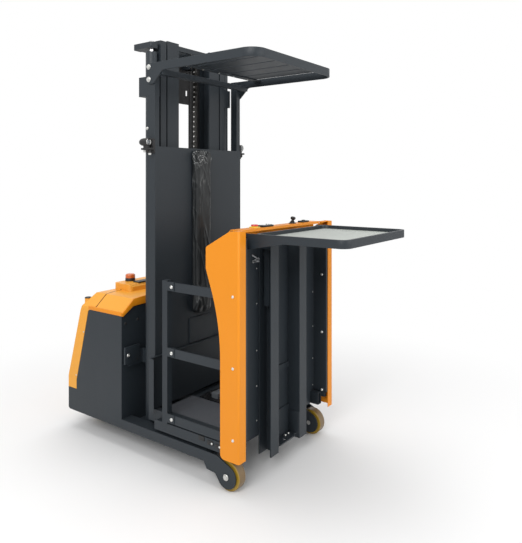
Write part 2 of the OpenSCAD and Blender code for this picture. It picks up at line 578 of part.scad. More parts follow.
// Gates: three rails on pins at the front of the cab that swing up together with their rear bar
module gate_posts() color(steel_grey) station() both_sides() {
    difference() {
        box([gate_pin_x - 18, gate_pin_x + 18], [panel_y - 57, rail_y - 8], [200, 862]);
        box([gate_pin_x - 15, gate_pin_x + 15], [panel_y - 54, rail_y - 11], [199, 863]);
    }
    for (z = gate_z) {
        bar_y(gate_pin_x, z, pin_r, panel_y - 56, panel_y - panel_t);
        bar_y(gate_pin_x, z, pin_r + 5, rail_y - 9, rail_y - ear_gap);
    }
}
module gate_rail(side, z) color(steel_grey) station() mirror([0, side > 0 ? 0 : 1, 0]) difference() {
    side_plate(rail_y, rail_t) {
        rect([gate_pin_x - rail_len, z - rail_h / 2], [gate_pin_x, z + rail_h / 2]);
        for (x = [gate_pin_x - rail_len, gate_pin_x]) translate([x, z]) circle(r = rail_h / 2, $fn = 40);
    }
    for (x = [gate_pin_x - rail_len, gate_pin_x]) bar_y(x, z, pin_r + run_gap, rail_y - 2, rail_y + rail_t + 2);
}
// The upright that hangs on the rails' rear pins and rests on the platform when the gate is down
module gate_bar(side) color(steel_grey) station() mirror([0, side > 0 ? 0 : 1, 0]) {
    difference() {
        box([bar_x, bar_x + 32], [341, 371], [deck_z - 6 + seat_gap, 852]);
        box([bar_x + 3, bar_x + 29], [344, 368], [deck_z - 7, 849]);
    }
    for (z = gate_z, y = [rail_y - ear_gap - 3, rail_y + rail_t + ear_gap])
        box([bar_x + 31, gate_pin_x - rail_len + 14], [y, y + 3], [z - 18, z + 22]);
    for (z = gate_z) bar_y(gate_pin_x - rail_len, z, pin_r, rail_y - 4, rail_y + rail_t + 4);
}

chassis();
load_axles();
load_wheel(-1);  // load_wheel_right
load_wheel(1);  // load_wheel_left
drive_housing();
hood();
beacon();
battery();
drive_unit();
drive_wheel();
caster_fork(-1);  // caster_fork_right
caster_fork(1);  // caster_fork_left
caster_wheel(-1);  // caster_wheel_right
caster_wheel(1);  // caster_wheel_left
outer_mast();
lift_barrels();
inner_mast();
lift_rods();
chain_wheel();
lift_chain();
platform();
floor_mat();
foot_pedal();
back_frame();
carriage();
back_panel();
backrest_pad();
kick_wall();
overhead_guard();
side_lamps();
front_wall();
side_panel(-1);  // side_panel_right
side_panel(1);  // side_panel_left
console();
controls();
small_mast();
gate_posts();
gate_rail(-1, gate_z[0]);  // gate_rails_right_low
gate_rail(-1, gate_z[1]);  // gate_rails_right_mid
gate_rail(-1, gate_z[2]);  // gate_rails_right_top
gate_bar(-1);  // gate_bar_right
gate_rail(1, gate_z[0]);  // gate_rails_left_low
gate_rail(1, gate_z[1]);  // gate_rails_left_mid
gate_rail(1, gate_z[2]);  // gate_rails_left_top
gate_bar(1);  // gate_bar_left
tray_carriage();
load_tray();
tray_mat();
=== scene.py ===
# %% [markdown]
# # An order picker truck, dressed in Blender
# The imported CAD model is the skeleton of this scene. It already has every part at its real size and place,
# so this lesson spends its time on what a designer's model leaves out: paint that has a skin, film that is
# still crumpled round the new cushion, bolts, lamps and the lens of the beacon.

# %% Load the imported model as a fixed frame
import math

import bmesh
import bpy
from mathutils import Matrix, Vector, noise


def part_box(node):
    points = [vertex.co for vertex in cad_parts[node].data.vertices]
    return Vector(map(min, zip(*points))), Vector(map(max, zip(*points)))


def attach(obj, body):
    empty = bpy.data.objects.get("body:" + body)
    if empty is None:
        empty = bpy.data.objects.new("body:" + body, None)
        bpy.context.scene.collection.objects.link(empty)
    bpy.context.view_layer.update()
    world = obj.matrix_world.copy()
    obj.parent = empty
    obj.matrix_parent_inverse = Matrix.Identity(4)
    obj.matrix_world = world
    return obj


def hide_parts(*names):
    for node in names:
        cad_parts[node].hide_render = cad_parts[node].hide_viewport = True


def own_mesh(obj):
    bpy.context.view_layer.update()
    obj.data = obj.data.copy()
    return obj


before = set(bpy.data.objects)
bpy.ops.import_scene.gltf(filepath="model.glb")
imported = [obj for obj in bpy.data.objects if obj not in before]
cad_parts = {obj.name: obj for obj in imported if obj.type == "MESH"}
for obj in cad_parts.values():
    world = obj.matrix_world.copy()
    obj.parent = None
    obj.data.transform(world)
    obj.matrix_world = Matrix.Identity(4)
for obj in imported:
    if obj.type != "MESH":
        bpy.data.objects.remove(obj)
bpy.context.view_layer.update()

# %% [markdown]
# Stations along the truck are easier to think about in millimetres, counted from the front face of the
# orange side panels, which is how one would measure the real truck with a tape.

# %% Measure from the side panels
MM = 0.001
PANEL_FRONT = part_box("side_panel_right")[1].x


def at(x, y, z):
    """A point given in millimetres from the panels' front face, as metres in the model's frame."""
    return Vector((PANEL_FRONT + x * MM, y * MM, z * MM))


print("the panels' front face is at x =", round(PANEL_FRONT, 4))

# %% [markdown]
# The camera stands where the photographer stood: at chest height, in front of the truck's right corner.
# It looks level, and the frame is slid down over the lens instead of tilting, which keeps uprights upright.

# %% Stand the camera in the photographer's place
PHOTO_H = 543
FOCAL_PX = 566.28
HORIZON_PX = 178.79
PHOTO_AZIMUTH = 36.104
CAMERA_AT = (PANEL_FRONT + 1.4298, -2.1980, 1.315)

camera_data = bpy.data.cameras.new("camera")
camera = bpy.data.objects.new("camera", camera_data)
bpy.context.scene.collection.objects.link(camera)
camera.location = CAMERA_AT
camera.rotation_euler = (math.radians(90), 0, math.radians(PHOTO_AZIMUTH))
camera_data.sensor_width = 36
camera_data.lens = camera_data.sensor_width * FOCAL_PX / PHOTO_H
camera_data.shift_y = (HORIZON_PX - PHOTO_H / 2) / PHOTO_H
bpy.context.scene.camera = camera
print("lens of", round(camera_data.lens, 2), "mm")

# %% [markdown]
# A pale floor takes the shadow. To the camera, and in mirrors and glass, the world is plain white, but the
# light it sheds on the truck is weaker, so that a colour renders about as it is written.

# %% Lay the floor and light the studio
FLOOR_HALF = 14


def new_object(name, bm, smooth_angle=None):
    """Turns a bmesh into an object whose place is in its mesh."""
    mesh = bpy.data.meshes.new(name)
    bm.to_mesh(mesh)
    bm.free()
    obj = bpy.data.objects.new(name, mesh)
    bpy.context.scene.collection.objects.link(obj)
    if smooth_angle is not None:
        mesh.shade_smooth()
        mesh.set_sharp_from_angle(angle=math.radians(smooth_angle))
    return obj


def node_maker(tree):
    """A short way to add a node with its values and to link its inputs."""
    def add(kind, values=None, **settings):
        node = tree.nodes.new(kind)
        for key, value in settings.items():
            setattr(node, key, value)
        for key, value in (values or {}).items():
            if isinstance(value, bpy.types.NodeSocket):
                tree.links.new(value, node.inputs[key])
            else:
                node.inputs[key].default_value = value
        return node
    return add


def plain_material(name, colour, roughness):
    mat = bpy.data.materials.new(name)
    mat.use_nodes = True
    shader = mat.node_tree.nodes["Principled BSDF"]
    shader.inputs["Base Color"].default_value = (*colour, 1)
    shader.inputs["Roughness"].default_value = roughness
    return mat


def white_to_camera(tree, lit, white):
    """Shows white to camera, mirror and glass rays and the lit shader to all others."""
    add = node_maker(tree)
    path = add("ShaderNodeLightPath")
    seen = add("ShaderNodeMath", {0: path.outputs["Is Camera Ray"], 1: path.outputs["Is Glossy Ray"]},
               operation="MAXIMUM")
    seen = add("ShaderNodeMath", {0: seen.outputs[0], 1: path.outputs["Is Transmission Ray"]},
               operation="MAXIMUM")
    return add("ShaderNodeMixShader", {0: seen.outputs[0], 1: lit, 2: white})


bm = bmesh.new()
bmesh.ops.create_grid(bm, x_segments=1, y_segments=1, size=FLOOR_HALF)
floor = new_object("floor", bm)
floor_paint = plain_material("pale_floor", (0.88, 0.88, 0.88), 0.75)
floor.data.materials.append(floor_paint)

tree = floor_paint.node_tree
add = node_maker(tree)
paper = add("ShaderNodeEmission", {"Color": (1, 1, 1, 1), "Strength": 1.0})
place = add("ShaderNodeTexCoord")
reach = add("ShaderNodeVectorMath", {0: place.outputs["Object"]}, operation="LENGTH")
far = add("ShaderNodeMapRange", {"Value": reach.outputs["Value"], "From Min": 0.9, "From Max": 2.4,
                                 "To Min": 0.0, "To Max": 1.0}, interpolation_type="SMOOTHSTEP")
path = add("ShaderNodeLightPath")
faded = add("ShaderNodeMath", {0: far.outputs[0], 1: path.outputs["Is Camera Ray"]}, operation="MULTIPLY")
both = add("ShaderNodeMixShader", {0: faded.outputs[0], 1: tree.nodes["Principled BSDF"].outputs[0],
                                   2: paper.outputs[0]})
tree.links.new(both.outputs[0], tree.nodes["Material Output"].inputs["Surface"])

world = bpy.data.worlds.new("studio")
bpy.context.scene.world = world
world.use_nodes = True
tree = world.node_tree
tree.nodes.clear()
add = node_maker(tree)
lit = add("ShaderNodeBackground", {"Color": (1.0, 1.0, 1.0, 1), "Strength": 0.55})
white = add("ShaderNodeBackground", {"Color": (1, 1, 1, 1), "Strength": 1.0})
mixed = white_to_camera(tree, lit.outputs[0], white.outputs[0])
add("ShaderNodeOutputWorld", {"Surface": mixed.outputs[0]})


def area_light(name, place, aim, size, watts):
    data = bpy.data.lights.new(name, "AREA")
    data.size = size
    data.energy = watts
    lamp = bpy.data.objects.new(name, data)
    bpy.context.scene.collection.objects.link(lamp)
    lamp.location = place
    lamp.rotation_mode = "QUATERNION"
    lamp.rotation_quaternion = (Vector(aim) - Vector(place)).to_track_quat("-Z", "Y")
    return lamp


CHEST = (0, 0, 0.9)
area_light("key_light", (1.5, -4.2, 3.6), CHEST, 2.6, 138)
area_light("front_fill", (4.6, 0.6, 2.2), CHEST, 3.0, 60)
area_light("top_light", (-0.3, 0.2, 4.8), (0, 0, 1.0), 3.0, 90)

scene = bpy.context.scene
scene.view_settings.view_transform = "Standard"
print("three soft lamps and a white surround")

# %% [markdown]
# ## Finishes
# Most effects are shared, so each is built once as a node group. The first is the fine skin of a powder
# coat, which is never quite flat. The second is dust, which settles on faces that look up. The third makes
# small scuffs, which change how a surface shines more than they change its colour.

# %% Build the shared effects
def effect_group(name, inputs, outputs):
    """An empty shader node group with float inputs, and outputs given as name: socket type."""
    group = bpy.data.node_groups.new(name, "ShaderNodeTree")
    for label, value in inputs.items():
        socket = group.interface.new_socket(label, in_out="INPUT", socket_type="NodeSocketFloat")
        socket.default_value = value
    for label, kind in outputs.items():
        group.interface.new_socket(label, in_out="OUTPUT", socket_type=kind)
    add = node_maker(group)
    return group, add, add("NodeGroupInput"), add("NodeGroupOutput")


def coat_skin_group():
    group, add, given, result = effect_group(
        "coat_skin", {"Scale": 900, "Depth": 0.3}, {"Normal": "NodeSocketVector", "Fleck": "NodeSocketFloat"})
    place = add("ShaderNodeTexCoord")
    fine = add("ShaderNodeTexNoise", {"Vector": place.outputs["Object"], "Scale": given.outputs["Scale"],
                                      "Detail": 2.0, "Roughness": 0.5})
    bump = add("ShaderNodeBump", {"Strength": given.outputs["Depth"], "Distance": 0.0004,
                                  "Height": fine.outputs["Fac"]})
    group.links.new(bump.outputs["Normal"], result.inputs["Normal"])
    group.links.new(fine.outputs["Fac"], result.inputs["Fleck"])
    return group


def dust_group():
    group, add, given, result = effect_group(
        "dust", {"Amount": 0.2, "Scale": 6}, {"Mask": "NodeSocketFloat"})
    place = add("ShaderNodeTexCoord")
    facing = add("ShaderNodeNewGeometry")
    up = add("ShaderNodeSeparateXYZ", {0: facing.outputs["Normal"]})
    patches = add("ShaderNodeTexNoise", {"Vector": place.outputs["Object"], "Scale": given.outputs["Scale"],
                                         "Detail": 6.0, "Roughness": 0.65})
    level = add("ShaderNodeMapRange", {"Value": up.outputs["Z"], "From Min": 0.2, "From Max": 1.0,
                                       "To Min": 0.15, "To Max": 1.0})
    spread = add("ShaderNodeMath", {0: patches.outputs["Fac"], 1: level.outputs[0]}, operation="MULTIPLY")
    mask = add("ShaderNodeMath", {0: spread.outputs[0], 1: given.outputs["Amount"]}, operation="MULTIPLY",
               use_clamp=True)
    group.links.new(mask.outputs[0], result.inputs["Mask"])
    return group


def scuff_group():
    group, add, given, result = effect_group(
        "scuffs", {"Base": 0.4, "Spread": 0.1, "Scale": 14}, {"Roughness": "NodeSocketFloat"})
    place = add("ShaderNodeTexCoord")
    stretch = add("ShaderNodeMapping", {"Vector": place.outputs["Object"], "Scale": (1.0, 1.0, 0.35)})
    cloud = add("ShaderNodeTexNoise", {"Vector": stretch.outputs[0], "Scale": given.outputs["Scale"],
                                       "Detail": 8.0, "Roughness": 0.7})
    centred = add("ShaderNodeMath", {0: cloud.outputs["Fac"], 1: 0.5}, operation="SUBTRACT")
    scaled = add("ShaderNodeMath", {0: centred.outputs[0], 1: given.outputs["Spread"]}, operation="MULTIPLY")
    rough = add("ShaderNodeMath", {0: scaled.outputs[0], 1: given.outputs["Base"]}, operation="ADD",
                use_clamp=True)
    group.links.new(rough.outputs[0], result.inputs["Roughness"])
    return group


COAT_SKIN = coat_skin_group()
DUST = dust_group()
SCUFFS = scuff_group()
print("shared effects:", [g.name for g in bpy.data.node_groups])

# %% [markdown]
# One function lays these effects over a colour. Paint, moulded plastic, rubber and bare metal differ in
# their base colour, their shine, how coarse the skin is and how metallic they are.

# %% A finish with skin, dust and scuffs
def finish(name, colour, rough=0.45, spread=0.18, metallic=0.0, skin_scale=900, skin_depth=0.25,
           dust=0.12, tone=0.08, coat=0.0, coat_rough=0.2, specular=0.5):
    mat = bpy.data.materials.new(name)
    mat.use_nodes = True
    tree = mat.node_tree
    shader = tree.nodes["Principled BSDF"]
    add = node_maker(tree)
    skin = add("ShaderNodeGroup", node_tree=COAT_SKIN)
    skin.inputs["Scale"].default_value = skin_scale
    skin.inputs["Depth"].default_value = skin_depth
    scuffs = add("ShaderNodeGroup", node_tree=SCUFFS)
    scuffs.inputs["Base"].default_value = rough
    scuffs.inputs["Spread"].default_value = spread
    dusty = add("ShaderNodeGroup", node_tree=DUST)
    dusty.inputs["Amount"].default_value = dust
    place = add("ShaderNodeTexCoord")
    cloud = add("ShaderNodeTexNoise", {"Vector": place.outputs["Object"], "Scale": 3.5, "Detail": 4.0})
    darker = tuple(c * (1 - tone) for c in colour)
    lighter = tuple(min(1, c * (1 + tone)) for c in colour)
    base = add("ShaderNodeMix", {0: cloud.outputs["Fac"], 6: (*darker, 1), 7: (*lighter, 1)},
               data_type="RGBA")
    grey = (0.42, 0.40, 0.37, 1)
    dusted = add("ShaderNodeMix", {0: dusty.outputs["Mask"], 6: base.outputs[2], 7: grey},
                 data_type="RGBA")
    tree.links.new(dusted.outputs[2], shader.inputs["Base Color"])
    tree.links.new(scuffs.outputs["Roughness"], shader.inputs["Roughness"])
    tree.links.new(skin.outputs["Normal"], shader.inputs["Normal"])
    shader.inputs["Metallic"].default_value = metallic
    shader.inputs["Coat Weight"].default_value = coat
    shader.inputs["Coat Roughness"].default_value = coat_rough
    shader.inputs["Specular IOR Level"].default_value = specular
    return mat


ANTHRACITE = finish("anthracite_powder_coat", (0.019, 0.025, 0.031), rough=0.46, dust=0.02, specular=0.36)
ORANGE = finish("orange_powder_coat", (0.76, 0.255, 0.008), rough=0.42, dust=0.01, tone=0.03, specular=0.3)
HOOD_ORANGE = finish("orange_moulding", (0.82, 0.36, 0.035), rough=0.38, skin_scale=500, skin_depth=0.12,
                     dust=0.01, tone=0.03, specular=0.36)
BLACK_TYRE = finish("black_rubber_tyre", (0.012, 0.012, 0.012), rough=0.62, dust=0.25)
BRIGHT_STEEL = finish("zinc_plated_steel", (0.66, 0.66, 0.64), rough=0.3, metallic=1.0, skin_scale=300,
                      skin_depth=0.08, dust=0.02)
CHROME = finish("chromed_rod", (0.78, 0.78, 0.79), rough=0.08, spread=0.05, metallic=1.0, skin_depth=0.02,
                dust=0.0)
BLACK_PLASTIC = finish("black_moulding", (0.011, 0.011, 0.012), rough=0.5, skin_scale=700, skin_depth=0.4,
                       specular=0.4)
DARK_PAINT = finish("dark_machine_paint", (0.020, 0.021, 0.023), rough=0.5)
MAT_RUBBER = finish("floor_mat_rubber", (0.060, 0.066, 0.078), rough=0.7, skin_scale=500, skin_depth=0.7,
                    dust=0.08)
TRAY_RUBBER = finish("pale_tray_mat", (0.40, 0.43, 0.40), rough=0.5, skin_scale=350, skin_depth=0.3, tone=0.03)
BEACON_RED = finish("beacon_lens", (0.62, 0.13, 0.015), rough=0.26, skin_depth=0.03, dust=0.01, coat=0.4)
print(len(bpy.data.materials), "finishes")

# %% [markdown]
# The load wheels are one casting of urethane on a steel hub. A wheel's colour depends only on how far a
# point lies from its axle and on whether it is on the tread or on a flank, so one material serves both.

# %% Paint the wheels by their radius
def wheel_finish(name, axle, flank_y, hub_radius, tread, flank, hub):
    """A finish that turns from hub to flank by the distance from the axle, and has its own tread colour."""
    mat = finish(name, tread, rough=0.42, skin_scale=260, skin_depth=0.35, dust=0.04, coat=0.1)
    tree = mat.node_tree
    add = node_maker(tree)
    base = tree.nodes["Principled BSDF"].inputs["Base Color"].links[0].from_socket
    place = add("ShaderNodeTexCoord")
    parts = add("ShaderNodeSeparateXYZ", {0: place.outputs["Object"]})
    dx = add("ShaderNodeMath", {0: parts.outputs["X"], 1: axle.x}, operation="SUBTRACT")
    dz = add("ShaderNodeMath", {0: parts.outputs["Z"], 1: axle.z}, operation="SUBTRACT")
    ring = add("ShaderNodeCombineXYZ", {"X": dx.outputs[0], "Y": dz.outputs[0]})
    radius = add("ShaderNodeVectorMath", {0: ring.outputs[0]}, operation="LENGTH")
    side = add("ShaderNodeMath", {0: parts.outputs["Y"]}, operation="ABSOLUTE")
    off = add("ShaderNodeMath", {0: side.outputs[0], 1: abs(axle.y)}, operation="SUBTRACT")
    off = add("ShaderNodeMath", {0: off.outputs[0]}, operation="ABSOLUTE")
    on_flank = add("ShaderNodeMapRange", {"Value": off.outputs[0], "From Min": flank_y - 0.003,
                                          "From Max": flank_y - 0.001, "To Min": 0.0, "To Max": 1.0})
    in_hub = add("ShaderNodeMapRange", {"Value": radius.outputs["Value"], "From Min": hub_radius,
                                        "From Max": hub_radius + 0.001, "To Min": 1.0, "To Max": 0.0})
    flanked = add("ShaderNodeMix", {0: on_flank.outputs[0], 6: base, 7: (*flank, 1)}, data_type="RGBA")
    done = add("ShaderNodeMix", {0: in_hub.outputs[0], 6: flanked.outputs[2], 7: (*hub, 1)}, data_type="RGBA")
    tree.links.new(done.outputs[2], tree.nodes["Principled BSDF"].inputs["Base Color"])
    return mat


def middle(node):
    low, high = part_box(node)
    return (low + high) / 2


FLANK, HUB = (0.310, 0.190, 0.012), (0.035, 0.038, 0.042)
LOAD_WHEEL = wheel_finish("load_wheel_urethane", middle("load_wheel_left"), 0.022, 0.041,
                          (0.175, 0.112, 0.046), FLANK, HUB)
CASTER_WHEEL = wheel_finish("caster_urethane", middle("caster_wheel_left"), 0.018, 0.031,
                            (0.150, 0.105, 0.055), FLANK, HUB)
print("wheel finishes ready")

# %% [markdown]
# Two more colours follow a place on the part. The chain's plates are oiled nearly black while its pins are
# bright where they end, out to the sides. On the hood, painted shade darkens the groove where the mouldings meet.

# %% Bright pins for the chain and painted shade along the hood's seam
def recoloured(mat, mask, colour):
    """Mixes another colour into a finish wherever the mask is one."""
    tree = mat.node_tree
    shader = tree.nodes["Principled BSDF"]
    base = shader.inputs["Base Color"].links[0].from_socket
    mixed = node_maker(tree)("ShaderNodeMix", {0: mask, 6: base, 7: (*colour, 1)}, data_type="RGBA")
    tree.links.new(mixed.outputs[2], shader.inputs["Base Color"])


def place_parts(mat):
    """The node adder of a finish and the X, Y and Z of the point it colours."""
    add = node_maker(mat.node_tree)
    place = add("ShaderNodeTexCoord")
    return add, add("ShaderNodeSeparateXYZ", {0: place.outputs["Object"]}).outputs


PIN_SHOWS = 8.2 * MM
CHAIN_STEEL = finish("oiled_chain", (0.035, 0.033, 0.030), rough=0.32, metallic=0.85, skin_depth=0.2, coat=0.3)
add, axes = place_parts(CHAIN_STEEL)
side = add("ShaderNodeMath", {0: axes["Y"]}, operation="ABSOLUTE")
pins = add("ShaderNodeMath", {0: side.outputs[0], 1: PIN_SHOWS}, operation="GREATER_THAN")
recoloured(CHAIN_STEEL, pins.outputs[0], (0.75, 0.74, 0.72))

# Painted shade: a dark orange band down the groove where the hood's two mouldings meet, kept below the box on top
SEAM_X = at(-953.5, 0, 0).x
BOX_FOOT = 727 * MM
add, axes = place_parts(HOOD_ORANGE)
from_seam = add("ShaderNodeMath", {0: axes["X"], 1: SEAM_X}, operation="SUBTRACT")
across = add("ShaderNodeMath", {0: from_seam.outputs[0]}, operation="ABSOLUTE")
in_seam_shade = add("ShaderNodeMapRange", {"Value": across.outputs[0], "From Min": 2.2 * MM, "From Max": 4.5 * MM,
                                     "To Min": 1.0, "To Max": 0.0})
below_box = add("ShaderNodeMath", {0: axes["Z"], 1: BOX_FOOT}, operation="LESS_THAN")
painted_seam_shade = add("ShaderNodeMath", {0: in_seam_shade.outputs[0], 1: below_box.outputs[0]}, operation="MULTIPLY")
recoloured(HOOD_ORANGE, painted_seam_shade.outputs[0], (0.26, 0.075, 0.004))
print("chain and hood coloured by place")

# %% [markdown]
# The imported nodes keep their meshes. A narrow bevel is laid over them as a modifier, since every edge of
# folded and painted steel is slightly round and shows as a thin light line.

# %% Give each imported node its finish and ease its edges
NODE_FINISH = {
    "hood": HOOD_ORANGE, "side_panel_right": ORANGE, "side_panel_left": ORANGE, "console": ORANGE,
    "load_wheel_right": LOAD_WHEEL, "load_wheel_left": LOAD_WHEEL, "caster_wheel_right": CASTER_WHEEL,
    "caster_wheel_left": CASTER_WHEEL, "drive_wheel": BLACK_TYRE, "load_axles": BRIGHT_STEEL,
    "chain_wheel": BRIGHT_STEEL, "lift_rods": CHROME, "battery": BLACK_PLASTIC,
    "drive_unit": DARK_PAINT, "floor_mat": MAT_RUBBER, "tray_mat": TRAY_RUBBER,
}
DRESSED = {"beacon", "side_lamps", "controls", "foot_pedal", "backrest_pad", "lift_chain"}
PLAIN_EDGES = {"lift_rods", "load_wheel_right", "load_wheel_left", "caster_wheel_right",
               "caster_wheel_left", "drive_wheel", "load_axles", "chain_wheel"}
PLAIN_EDGES |= {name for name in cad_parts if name.startswith("gate_rail")}


def ease_edges(obj, width):
    """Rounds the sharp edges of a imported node, so that they catch the light as folded steel does."""
    weld = obj.modifiers.new("weld", "WELD")
    weld.merge_threshold = 0.00001
    bevel = obj.modifiers.new("eased_edges", "BEVEL")
    bevel.width = width
    bevel.segments = 2
    bevel.limit_method = "ANGLE"
    bevel.angle_limit = math.radians(40)
    bevel.harden_normals = True


for name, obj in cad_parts.items():
    obj.data.materials.clear()
    obj.data.materials.append(NODE_FINISH.get(name, ANTHRACITE))
    if name not in DRESSED | PLAIN_EDGES:
        ease_edges(obj, 1.0 * MM)
print("nodes painted:", len(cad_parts))

# %% [markdown]
# ## Building blocks
# Small hardware is turned or cut from a block. `turned` spins a profile of radius and height about its own
# axis, `slab` is a block with eased edges, and both go into one mesh that becomes a piece on one body. The
# truck's two sides mirror each other, so `side_slab` takes its distances across from the middle.

# %% Turned and block shapes
def merge_into(target, part):
    """Adds the faces of one bmesh to another."""
    mesh = bpy.data.meshes.new("part")
    part.to_mesh(mesh)
    part.free()
    target.from_mesh(mesh)
    bpy.data.meshes.remove(mesh)


def facing(point, direction):
    """A matrix whose local Z points along the direction, with its origin on the point."""
    turn = Vector(direction).to_track_quat("Z", "Y").to_matrix().to_4x4()
    return Matrix.Translation(point) @ turn


def turned(target, profile, place, segments=28):
    """Spins (radius, height) pairs, given in millimetres, about the local Z of the place."""
    part = bmesh.new()
    verts = [part.verts.new((r * MM, 0, h * MM)) for r, h in profile]
    edges = [part.edges.new(pair) for pair in zip(verts, verts[1:])]
    bmesh.ops.spin(part, geom=verts + edges, cent=(0, 0, 0), axis=(0, 0, 1), angle=math.tau,
                   steps=segments, use_merge=True)
    bmesh.ops.remove_doubles(part, verts=part.verts, dist=1e-6)
    bmesh.ops.recalc_face_normals(part, faces=part.faces)
    part.transform(place)
    merge_into(target, part)


def slab(target, low, high, edge=1.0, segments=2, place=None):
    """A block between two corners in millimetres, with all its edges eased."""
    part = bmesh.new()
    bmesh.ops.create_cube(part, size=1.0)
    size = Vector(high) - Vector(low)
    centre = (Vector(high) + Vector(low)) / 2
    bmesh.ops.scale(part, vec=size * MM, verts=part.verts)
    bmesh.ops.translate(part, vec=centre * MM, verts=part.verts)
    bmesh.ops.bevel(part, geom=part.edges[:], offset=edge * MM, offset_type="OFFSET", affect="EDGES",
                    segments=segments, profile=0.5, material=-1)
    part.transform(place if place is not None else Matrix.Translation(at(0, 0, 0)))
    merge_into(target, part)


def side_slab(target, s, x, across, z, **how):
    """A slab on the side s of the truck, given as three pairs: along, across from the middle, and up."""
    y = sorted(s * distance for distance in across)
    slab(target, (x[0], y[0], z[0]), (x[1], y[1], z[1]), **how)


def piece(name, bm, body, finish_of, smooth_angle=35):
    """Turns a bmesh into a finished piece that rides on a body."""
    obj = new_object(name, bm, smooth_angle)
    obj.data.materials.append(finish_of)
    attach(obj, body)
    return obj


# %% [markdown]
# ## Bolts and screws
# Three kinds are in sight: button heads with a socket on the orange panels, hex heads on a washer where
# something heavy hangs, and small pan heads that hold thin sheet.

# %% Cut the heads
def button_head(bm, place, size):
    turned(bm, [(0, 0), (size, 0), (size, size * 0.18), (size * 0.9, size * 0.4), (size * 0.66, size * 0.56),
                (size * 0.44, size * 0.6), (size * 0.40, size * 0.56), (size * 0.38, size * 0.2),
                (0, size * 0.2)], place)


def hex_head(bm, place, size):
    turned(bm, [(0, 0), (size * 1.35, 0), (size * 1.35, size * 0.12), (size * 1.28, size * 0.18),
                (0, size * 0.18)], place)
    turned(bm, [(0, size * 0.17), (size, size * 0.17), (size, size * 0.66), (size * 0.86, size * 0.8),
                (0, size * 0.8)], place, segments=6)


def pan_head(bm, place, size):
    turned(bm, [(0, 0), (size, 0), (size * 0.96, size * 0.3), (size * 0.7, size * 0.52),
                (size * 0.3, size * 0.6), (0, size * 0.6)], place, segments=16)


def set_of(name, body, head, size, spots, finish_of=BRIGHT_STEEL):
    """One piece with a head at each spot, a spot being a point in millimetres and the way it faces."""
    bm = bmesh.new()
    for point, direction in spots:
        head(bm, facing(at(*point), direction), size)
    return piece(name, bm, body, finish_of)


SIDES = ((-1, "right"), (1, "left"))
PANEL_OUTSIDE = 390
WALL_FACE = -78
HOUSING_FRONT = -750
HOOD_SIDE = 365
SLAT_X, SLAT_BELOW = -438, 1851
STEP_FACE = 368
panel_spots, wall_spots, return_spots, gusset_spots, tie_spots = [], [], [], [], []
hood_spots, slat_spots, hub_spots, plug_spots = [], [], [], []
for s, side in SIDES:
    panel_spots += [((-32, s * PANEL_OUTSIDE, z), (0, s, 0)) for z in (830, 535, 240)]
    wall_spots += [((WALL_FACE, s * 163, z), (1, 0, 0)) for z in (914, 757, 547, 388, 234)]
    wall_spots += [((WALL_FACE, s * 322, z), (1, 0, 0)) for z in (731, 554, 389, 252)]
    return_spots += [((-28, s * 330, z), (0, -s, 0)) for z in (825, 531, 235)]
    gusset_spots += [((-592, s * 334, z), (0, s, 0)) for z in (1848, 1788)]
    tie_spots += [((-732, s * 338, 449), (1, 0, 0))]
    hub_spots += [((-88, s * 367, 62.5), (0, s, 0))]
    hood_spots += [((x, s * HOOD_SIDE, z), (0, s, 0)) for x, z in ((-1047, 520), (-1109, 284))]
    plug_spots += [((HOUSING_FRONT, s * y, z), (1, 0, 0)) for y, z in ((341, 603), (262, 610))]
    slat_spots += [((SLAT_X, s * y, SLAT_BELOW), (0, 0, -1)) for y in (236, 118)]
    set_of("gate_pin_heads_" + side, "gate_bar_" + side, button_head, 8.5,
           [((-402, s * 371.3, z), (0, s, 0)) for z in (227, 527, 826)])

set_of("panel_bolts", "cab", button_head, 6.5, panel_spots)
set_of("front_wall_screws", "cab", pan_head, 3.2, wall_spots)
set_of("front_return_bolts", "cab", button_head, 7.0, return_spots)
set_of("guard_bolts", "cab", hex_head, 9.5, gusset_spots)
set_of("guard_slat_screws", "cab", pan_head, 4.5, slat_spots + [((SLAT_X, 0, SLAT_BELOW), (0, 0, -1))])
set_of("tie_bolts", "truck", button_head, 9.0, tie_spots)
set_of("hub_bolts", "truck", hex_head, 10.0, hub_spots)
set_of("hood_screws", "truck", pan_head, 4.0, hood_spots)
set_of("housing_plugs", "truck", pan_head, 7.0, plug_spots, BLACK_PLASTIC)
set_of("cylinder_ports", "truck", hex_head, 6.0, [((-640, s * 299, 1560), (0, s, 0)) for s in (-1, 1)])
bm = bmesh.new()
for s, side in SIDES:
    side_slab(bm, s, (-742.5, -732), (262, 358), (406, 490), edge=1.5)
piece("tie_plates", bm, "truck", ANTHRACITE)
bm = bmesh.new()
for s, side in SIDES:
    for x, z in ((-226, 190), (-176, 183), (-130, 178)):
        side_slab(bm, s, (x - 17, x + 17), (362, STEP_FACE), (z - 10, z + 10), edge=2)
piece("step_blocks", bm, "cab", BLACK_PLASTIC)
set_of("step_screws", "cab", pan_head, 5.0,
       [((x, s * STEP_FACE, z), (0, s, 0)) for s, side in SIDES for x, z in ((-165, 183), (-122, 180))])
bm = bmesh.new()
for s, side in SIDES:
    side_slab(bm, s, (-71, -11), (84, 88.5), (101, 205), edge=1.2)
piece("foot_gussets", bm, "cab", ANTHRACITE)
set_of("foot_bolts", "cab", hex_head, 6.0,
       [((x, y, 102), (0, 0, 1)) for x, y in ((-56, -60), (-58, -34), (-58, 62), (-58, 36))])
print("bolts and screws set")

# %% [markdown]
# ## Lamps and beacon
# The side lamps are turned shells with a clear lens that looks forward, on a small bracket. The beacon is
# a ribbed lens on a black foot.

